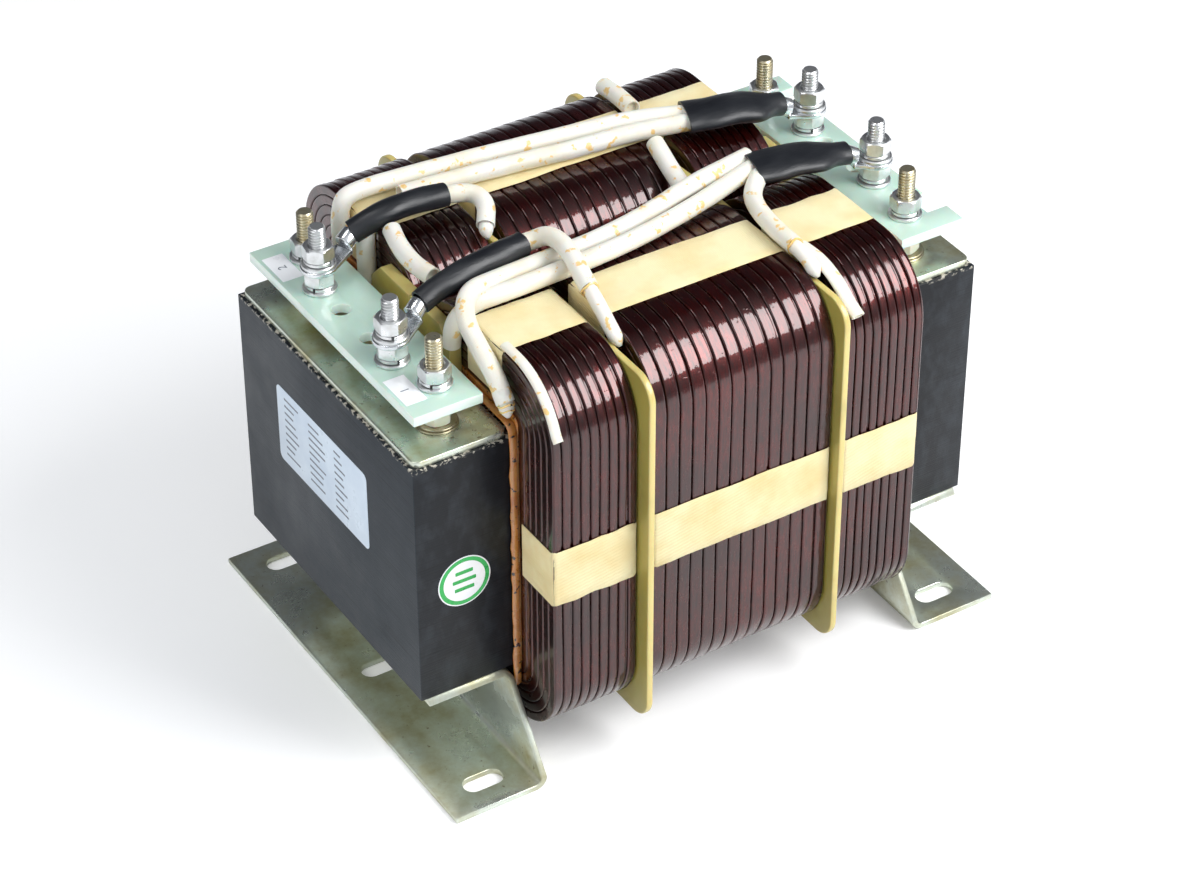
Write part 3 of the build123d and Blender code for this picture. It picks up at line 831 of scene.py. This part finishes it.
def shrink_finish():
    start_finish("black shrink", Coat_Weight=0.15, Coat_Roughness=0.35)
    cloud = speckle(40, 4)
    creases = speckle(170, 4, (0.5, 1.4, 1.4))
    colour = mix(steps(cloud, 0.3, 0.7), (0.006, 0.007, 0.010, 1), (0.014, 0.016, 0.020, 1))
    return end_finish(colour, steps(cloud, 0.3, 0.7, 0.36, 0.55), creases, 0.5, 0.0008)


SLEEVE = sleeve_finish()
AMBER = varnish_finish("amber varnish", (0.80, 0.50, 0.14, 1), (0.86, 0.68, 0.32, 1))
SHRINK = shrink_finish()
print("lead finishes ready")

# %% Helper that draws a tube along a route
def round_off(route, times=4):
    """Cuts the corners of a route again and again, which leaves smooth curves."""
    route = [Vector(point) for point in route]
    for _ in range(times):
        cut = [route[0]]
        for first, second in zip(route, route[1:]):
            cut += [first.lerp(second, 0.25), first.lerp(second, 0.75)]
        cut[1] = route[0].lerp(cut[2], 0.5)
        cut[-1] = route[-1].lerp(cut[-2], 0.5)
        route = cut + [route[-1]]
    return route


def even_steps(route, step):
    """Points at equal distances along a route."""
    lengths = [0.0]
    for first, second in zip(route, route[1:]):
        lengths.append(lengths[-1] + (second - first).length)
    count = max(4, int(lengths[-1] / step))
    points, at = [], 0
    for index in range(count + 1):
        goal = lengths[-1] * index / count
        while at < len(lengths) - 2 and lengths[at + 1] < goal:
            at += 1
        share = (goal - lengths[at]) / max(lengths[at + 1] - lengths[at], 1e-6)
        points.append(route[at].lerp(route[at + 1], min(max(share, 0), 1)))
    return points, lengths[-1]


SPACING = 1.1
MOUTH_DEPTH = 2.5


def draw_tube(name, route, width, height, finish, slot, nodes=(), around=28, wall=0.7, shape=None, lumps=0.03):
    """A tube whose ends are open mouths, with a width and height that a shape rule may change."""
    points, length = even_steps(round_off(route), SPACING)
    seed = dice.uniform(0, 90)
    across = None
    rings, lengths, mouth = [], [], []
    for index, point in enumerate(points):
        ahead = heading(points, index)
        if across is None:
            across = ahead.cross(UP) if abs(ahead.z) < 0.95 else Vector((0, 1, 0))
        across = (across - ahead * across.dot(ahead)).normalized()
        up = across.cross(ahead)
        gone = index / (len(points) - 1)
        wide, tall = shape(gone, length) if shape else (1, 1)
        ring = []
        for step in range(around):
            angle = 2 * math.pi * step / around
            spot = Vector((seed + math.cos(angle), math.sin(angle), gone * length * 0.09))
            lump = 1 + lumps * noise.noise(spot)
            out = across * math.cos(angle) * width / 2 * wide + up * math.sin(angle) * height / 2 * tall
            ring.append(point + out * lump)
        rings.append(ring)
        lengths += [(gone * length * MM, step / around) for step in range(around)]
        if index in (0, len(points) - 1):
            mouth.append((point, ahead if index else -ahead, ring))
    for end, (point, outwards, ring) in enumerate(mouth):
        share = 1 - 2 * wall / height
        inner = [point + (spot - point) * share for spot in ring]
        deep = [point + (spot - point) * share * 0.98 - outwards * MOUTH_DEPTH for spot in ring]
        extra = [inner, deep] if end else [deep, inner]
        rings = rings + extra if end else extra + rings
        padding = [(0.0, step / around) for step in range(around)] * 2
        lengths = lengths + padding if end else padding + lengths
    return build_piece(name, *rows_of_rings(rings), finish, slot, nodes, sharp=60, lengths=lengths)


print("tube helper ready")

# %% [markdown]
# The routes are the leads' own: X and Y, and how far the middle of the sleeve lies
# above the top of the windings, which they rest on.

# %% Lay the leads
coil_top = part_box("winding_front_left")[1].z / MM
SLEEVES = {
    "lead_back_outer": [
        (-104.2, 64, -22), (-104.2, 64.4, 2.2), (-98.2, 65, 8), (-60.7, 66.1, 5.2), (-20.3, 62, 5.2),
        (19.7, 56, 5.5), (45, 51.5, 6.5), (71, 38, 8.4),
    ],
    "lead_back_inner": [
        (-78, 54.5, 5.2), (-57.6, 53.1, 5.2), (-27.4, 50.2, 5.2), (12.3, 44.1, 5.5), (39.1, 41.2, 6.5),
        (71, 31, 8.2),
    ],
    "lead_back_stub": [(52.7, 88, 3.4), (52.6, 75, 4.9), (51.8, 61, 4.9)],
    "lead_front_upper": [
        (72, -6.5, 7.8), (35.5, -13.6, 8.6), (9.7, -19.8, 6), (-19.8, -24.4, 4.8), (-49.1, -25.8, 4.8),
        (-80, -29, 6), (-95.5, -36, 10.5), (-104.6, -48, 7.6), (-104.8, -60, -0.5), (-104.2, -73, -8),
        (-104.2, -82, -18),
    ],
    "lead_front_lower": [
        (72, -14.5, 7.6), (33.6, -24.7, 5.5), (1.7, -32.2, 5.2), (-27.1, -35.9, 5), (-50, -36.9, 4.9),
        (-80, -38, 4.7), (-94, -37, 4.2), (-102.5, -35.5, -3), (-103.4, -34.5, -16),
    ],
    "lead_left_front": [
        (-60, -16, 10), (-50.2, -15.6, 9.6), (-44.8, -20.5, 13.8), (-43.5, -30.5, 14.6),
        (-45, -42.5, 13.6), (-46.6, -52, 10.6), (-47.6, -60, 8.4),
    ],
    "lead_left_back": [
        (-70, 37.4, 10.2), (-62.7, 36.9, 9.6), (-52, 33, 9.5), (-50.5, 23, 8), (-57, 13.5, 3.6),
    ],
    "lead_left_cross": [(-95.4, 31.5, 4.9), (-98.3, 19, 3.5), (-99.5, 5, 3), (-97.5, -9.5, 3.5)],
    "lead_left_drop": [(-104.2, 40.6, 3.5), (-104.3, 40.1, -22)],
    "lead_right_front": [
        (68, -22, 7), (61.2, -27.4, 6.2), (54.5, -36, 5.6), (50.6, -56, 5.4), (50.4, -76, 5.2),
    ],
    "lead_right_cross": [(44.6, 30, 5), (41.5, 10, 0.2), (39.5, -6, -2)],
}
SLEEVE_SIZE, INNER_SIZE = (8.6, 8.6), (6.8, 6.8)


def over_coil(route):
    """Turns a route's heights above the windings into heights in the shared frame."""
    return [(x, y, coil_top + rise) for x, y, rise in route]


for name, route in SLEEVES.items():
    draw_tube(name + "_sleeve", over_coil(route), *SLEEVE_SIZE, SLEEVE, "woven_sleeve", [name])
print("sleeves laid:", len(SLEEVES))

# %% [markdown]
# Where an outer sleeve ends, a thinner one carries the wire on into the winding.
# Varnish has gathered in an amber collar at each of these steps.

# %% Thinner sleeves and amber collars
INNER = {
    "front_left": [(-47.2, -56, 9.4), (-48.6, -68, 6.2), (-49.4, -78, 1.5), (-48.8, -87, -6)],
    "upper_end": [(-104.3, -79, -12), (-104.2, -82, -18), (-104.2, -84, -24.5)],
    "drop_end": [(-104.3, 40.1, -18), (-104.3, 40, -27)],
    "outer_end": [(-104.2, 64, -18), (-104.2, 64, -27)],
    "right_front": [(50.4, -70, 5.1), (50.6, -79, 4.6), (51.6, -86, 2.0), (52.4, -92, -3.5)],
    "back_end": [(-52.6, 20, 6.4), (-57, 13.5, 3.2), (-58.5, 9, -0.5)],
}


def to_tip(gone, length):
    """Rounds off the last few millimetres of a sleeve."""
    share = min(1, max(0.06, (1 - gone) * length / 4))
    return math.sqrt(share), math.sqrt(share)


for name, route in INNER.items():
    draw_tube(f"inner_{name}", over_coil(route), *INNER_SIZE, SLEEVE, "woven_sleeve", shape=to_tip)


RING_STEPS, RING_SIDES = 40, 8


def collar(name, spot, ahead, radius, thick=0.55):
    """A ring of dried varnish round a sleeve."""
    ahead = Vector(ahead).normalized()
    across = ahead.orthogonal().normalized()
    up = ahead.cross(across)
    rings = []
    for step in range(RING_STEPS):
        angle = 2 * math.pi * step / RING_STEPS
        out = across * math.cos(angle) + up * math.sin(angle)
        middle = Vector(spot) + out * radius + ahead * 0.4 * math.sin(angle * 3)
        ring = []
        for part in range(RING_SIDES):
            turn = 2 * math.pi * part / RING_SIDES
            ring.append(tuple(middle + out * math.cos(turn) * thick + ahead * math.sin(turn) * thick))
        rings.append(ring)
    return build_piece(name, *rows_of_rings(rings, wrap=True), AMBER, "woven_sleeve")


collar("collar_upper", (-104.2, -82.3, coil_top - 18.6), (0, -0.4, -1), 3.5)
collar("collar_upper_low", (-104.2, -83.0, coil_top - 20.8), (0, -0.3, -1), 3.2, 0.4)
collar("collar_drop", (-104.3, 40.1, coil_top - 22.2), (0, 0, -1), 3.6)
collar("collar_right", (50.4, -76.2, coil_top + 5.1), (0, -1, -0.05), 3.6)
collar("collar_front", (-47.8, -60.4, coil_top + 8.2), (-0.1, -1, -0.3), 3.8)
print("thinner sleeves drawn:", len(INNER))

# %% [markdown]
# Two flat sleeves leave their windings over the rounded shoulder: one on the first turn
# of the left section and one on the first turn of the right one.

# %% Flat sleeves on the shoulders
def shoulder_route(x_top, x_end, start_y, end_z, lift):
    """A route that follows a front winding's top, round its shoulder and down its front."""
    low, high = (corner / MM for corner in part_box("winding_front_left"))
    leg_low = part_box("leg_wrap_front")[0] / MM
    radius = leg_low.y - low.y - BORE_PLAY + BORE_CORNER
    middle_y, middle_z = low.y + radius, high.z - radius
    route = [(start_y, high.z + lift)]
    for step in range(10):
        angle = math.radians(90 + 10 * step)
        y, z = math.cos(angle) * (radius + lift), math.sin(angle) * (radius + lift)
        route.append((middle_y + y, middle_z + z))
    route = [spot for spot in route if spot[1] >= end_z] + [(low.y - lift, end_z)]
    count = len(route) - 1
    return [(x_top + (x_end - x_top) * index / count, y, z) for index, (y, z) in enumerate(route)]


left, right = shoulder_route(-95.8, -96.2, -68, 194, 1.2), shoulder_route(56.4, 60.2, -72, 202, 1.3)
draw_tube("flat_left", left, 4.9, 3.0, SLEEVE, "woven_sleeve", wall=0.5)
draw_tube("flat_right", right, 7.2, 3.4, SLEEVE, "woven_sleeve", wall=0.5)
print("flat sleeves drawn")

# %% [markdown]
# The shrunk tubes are wider than they are high where they hold two leads side by side,
# and they narrow over the barrel of the lug.

# %% Shrink the black tubes
SHRINKS = {
    "left_front": (
        [(-112.4, -23.8, 3.8), (-95, -21.5, 9), (-75.3, -18.8, 10), (-55.5, -16.4, 10)], 12.5, 11, 0.9
    ),
    "left_back": (
        [(-110.8, 40.7, 3.8), (-97.2, 38.6, 10), (-80, 38.6, 10.8), (-64.2, 36.8, 10)], 12.5, 11, 0.9
    ),
    "right_front": ([(116, -23, 3.6), (91, -20.6, 8.2), (67, -16.7, 7.6)], 24, 10, 0.55),
    "right_back": ([(114.6, 29.2, 3.6), (88, 29.8, 9.6), (65.6, 36.6, 8.4)], 24, 11, 0.55),
}
for name, (route, width, height, narrow) in SHRINKS.items():
    def taper(gone, length, narrow=narrow):
        share = min(1, max(0, (gone * length - 3) / 16))
        share = share * share * (3 - 2 * share)
        return narrow + (1 - narrow) * share, 1

    node = "shrink_" + name
    look = (SHRINK, "black_shrink", [node], 36, 0.9, taper, 0.07)
    draw_tube(node + "_tube", over_coil(route), width, height, *look)
print("tubes shrunk:", len(SHRINKS))

# %% [markdown]
# The labels are thin printed foil: a rating label on the end of the core, a round
# sticker with a green ring on its side, and two number labels on the left board.
# They carry only plain marks.

# %% Labels and sticker
def paper_finish(name, tint, second):
    start_finish(name, Coat_Weight=0.4, Coat_Roughness=0.15)
    cloud = speckle(50, 4)
    colour = mix(steps(cloud, 0.35, 0.7), tint, second)
    return end_finish(colour, steps(cloud, 0.3, 0.7, 0.25, 0.4), cloud, 0.1, 0.0004)


FOIL = paper_finish("rating label", (0.66, 0.76, 0.86, 1), (0.56, 0.66, 0.78, 1))
WHITE = paper_finish("white label", (0.90, 0.91, 0.93, 1), (0.84, 0.86, 0.89, 1))
GREEN = paper_finish("green ring", (0.006, 0.38, 0.06, 1), (0.012, 0.46, 0.09, 1))
INK = paper_finish("grey print", (0.10, 0.12, 0.16, 1), (0.16, 0.18, 0.22, 1))


def plaque(name, origin, across, up, width, height, corner, thickness, finish, slot):
    """A thin rounded rectangle that stands off the face behind it by its thickness."""
    out = Vector(across).cross(Vector(up))
    rim = []
    for y, z, out_y, out_z in loop_places(width, height, corner, 2, 5):
        rim.append((y + out_y * corner, z + out_z * corner))
    rings = []
    for level, inset in ((0, 0), (thickness * 0.6, 0), (thickness, 0.15)):
        scale_y, scale_z = 1 - inset * 2 / width, 1 - inset * 2 / height
        rings.append([
            tuple(Vector(origin) + Vector(across) * y * scale_y + Vector(up) * z * scale_z + out * level)
            for y, z in rim
        ])
    return build_piece(name, *rows_of_rings(rings), finish, slot, sharp=30)


yoke_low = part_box("yoke_left")[0] / MM
label_x = yoke_low.x - 0.02
LABEL_Y, LABEL_Z = 4.4, 128.8
spot = (label_x, LABEL_Y, LABEL_Z)
plaque("rating_label", spot, (0, -1, 0), (0, 0, 1), 84.2, 42.4, 3.2, 0.15, FOIL, "core_paint")
signs = ((-1, -1), (1, -1), (1, 1), (-1, 1))
mark_faces = [[0, 1, 2, 3], [0, 4, 5, 1], [1, 5, 6, 2], [2, 6, 7, 3], [3, 7, 4, 0]]
marks = []
for row in range(9):
    for column, (start, longest) in enumerate(((35, 14), (12, 16), (-12, 12))):
        wide = longest * dice.uniform(0.5, 1.0)
        y, z = LABEL_Y + start - wide / 2, LABEL_Z + 16.2 - row * 3.9
        corners = [(label_x - 0.17, y + a * wide / 2, z + b * 0.55) for a, b in signs]
        back = [(label_x - 0.12, cy, cz) for _, cy, cz in corners]
        marks.append((corners + back, mark_faces))
join_shapes("rating_marks", marks, INK, "core_paint")


def disc(name, centre, radius, inner, thickness, finish):
    """A flat ring or disc on the front of the left yoke."""
    x, y, z = centre
    rings = []
    for reach, level in ((radius, 0), (radius, thickness), (max(inner, 0.01), thickness)):
        rings.append([(a, c, b) for a, b, c in circle(x, z, y - level, reach, 64)])
    return build_piece(name, *rows_of_rings(rings, ends=False), finish, "core_paint", sharp=30)


sticker = (-126.5, yoke_low.y - 0.02, 110.0)
disc("round_sticker", sticker, 13.4, 0.0, 0.12, WHITE)
disc("sticker_ring", sticker, 12.8, 10.7, 0.17, GREEN)
for row, wide in enumerate((9, 12, 10)):
    spot = (sticker[0], sticker[1] - 0.1, sticker[2] + 5 - row * 4.6)
    plaque(f"sticker_mark_{row}", spot, (1, 0, 0), (0, 0, 1), wide, 2.0, 0.4, 0.08, GREEN, "core_paint")
NUMBER_X = -138.8
for number, middle_y in ((1, -55.5), (2, 56.0)):
    spot = (NUMBER_X, middle_y, board_top + 0.02)
    plaque(f"number_label_{number}", spot, (0, 1, 0), (-1, 0, 0), 21, 10.5, 0.3, 0.15, WHITE, "board_laminate")
    text = bpy.data.curves.new(f"number_{number}", "FONT")
    text.body = str(number)
    text.size = 6 * MM
    text.extrude = 0.03 * MM
    text.align_x = text.align_y = "CENTER"
    letter = stand(f"number_text_{number}", text)
    shape = bpy.data.meshes.new_from_object(letter.evaluated_get(bpy.context.evaluated_depsgraph_get()))
    bpy.data.objects.remove(letter)
    lying = Matrix.Rotation(math.radians(90), 4, "Z")
    shape.transform(Matrix.Translation(Vector((NUMBER_X, middle_y, board_top + 0.2)) * MM) @ lying)
    add_piece(f"number_{number}", shape, INK)
print("labels on")

# %% [markdown]
# The setting is a white table in a pale room with a dark far wall. One broad soft lamp stands
# in front and to the right: the rounded shoulders of the windings mirror it as a pale band,
# their flat tops mirror the dark wall, and their fronts mirror the white table.
# Two weak lamps, at the left and overhead, keep the core's ends from going black.

# %% Light the table
def area_lamp(name, direction, distance, width, height, power, aim=(0, 0, 0.11)):
    data = bpy.data.lights.new(name, "AREA")
    data.shape = "RECTANGLE"
    data.size = width
    data.size_y = height
    data.energy = power
    lamp = stand(name, data)
    lamp.location = Vector(aim) + Vector(direction).normalized() * distance
    lamp.rotation_euler = Vector(direction).to_track_quat("Z", "Y").to_euler()


area_lamp("softbox", (0.43, -0.62, 0.66), 1.3, 0.72, 0.86, 18)
area_lamp("left", (-1.0, -0.15, 0.55), 1.6, 0.8, 0.8, 5)
area_lamp("ceiling", (-0.25, 0.15, 1.0), 1.9, 0.5, 0.4, 5)


def make_world():
    world = bpy.data.worlds.new("studio")
    bpy.context.scene.world = world
    world.use_nodes = True
    mixing["tree"] = world.node_tree
    direction = put("TexCoord", output="Generated")
    up = put("SeparateXYZ", {0: direction}, output=2)
    behind = put("SeparateXYZ", {0: direction}, output=1)
    wall = mix(steps(behind, -0.5, 0.35), (0.55, 0.57, 0.60, 1), (0.03, 0.032, 0.04, 1))
    room = mix(steps(up, 0.0, 0.25), (0.35, 0.36, 0.38, 1), wall)
    seen = put("LightPath", output="Is Camera Ray")
    mirrored = put("LightPath", output="Is Glossy Ray")
    colour = mix(mirrored, (0.50, 0.52, 0.55, 1), room)
    colour = mix(seen, colour, (1, 1, 1, 1))
    join(colour, "Color", "Background")


make_world()
bpy.context.scene.view_settings.view_transform = "Standard"

# %% [markdown]
# The table top is matt and nearly white. What the camera sees of it is made a little
# brighter still, so that it runs into the white background without more lamp light.

# %% Lay the table top
TABLE_HALF = 6
TABLE_GLOW = 0.16


def make_floor():
    mesh = bpy.data.meshes.new("floor")
    corners = [(x * TABLE_HALF, y * TABLE_HALF, 0) for x, y in signs]
    mesh.from_pydata(corners, [], [[0, 1, 2, 3]])
    start_finish(
        "table", Specular_IOR_Level=0.2, Base_Color=(0.93, 0.93, 0.93, 1), Roughness=0.7,
        Emission_Color=(1, 1, 1, 1),
    )
    seen = put("LightPath", output="Is Camera Ray")
    join(sums("MULTIPLY", seen, TABLE_GLOW), "Emission Strength")
    mesh.materials.append(mixing["finish"])
    floor = stand("floor", mesh)


make_floor()
print("table laid")
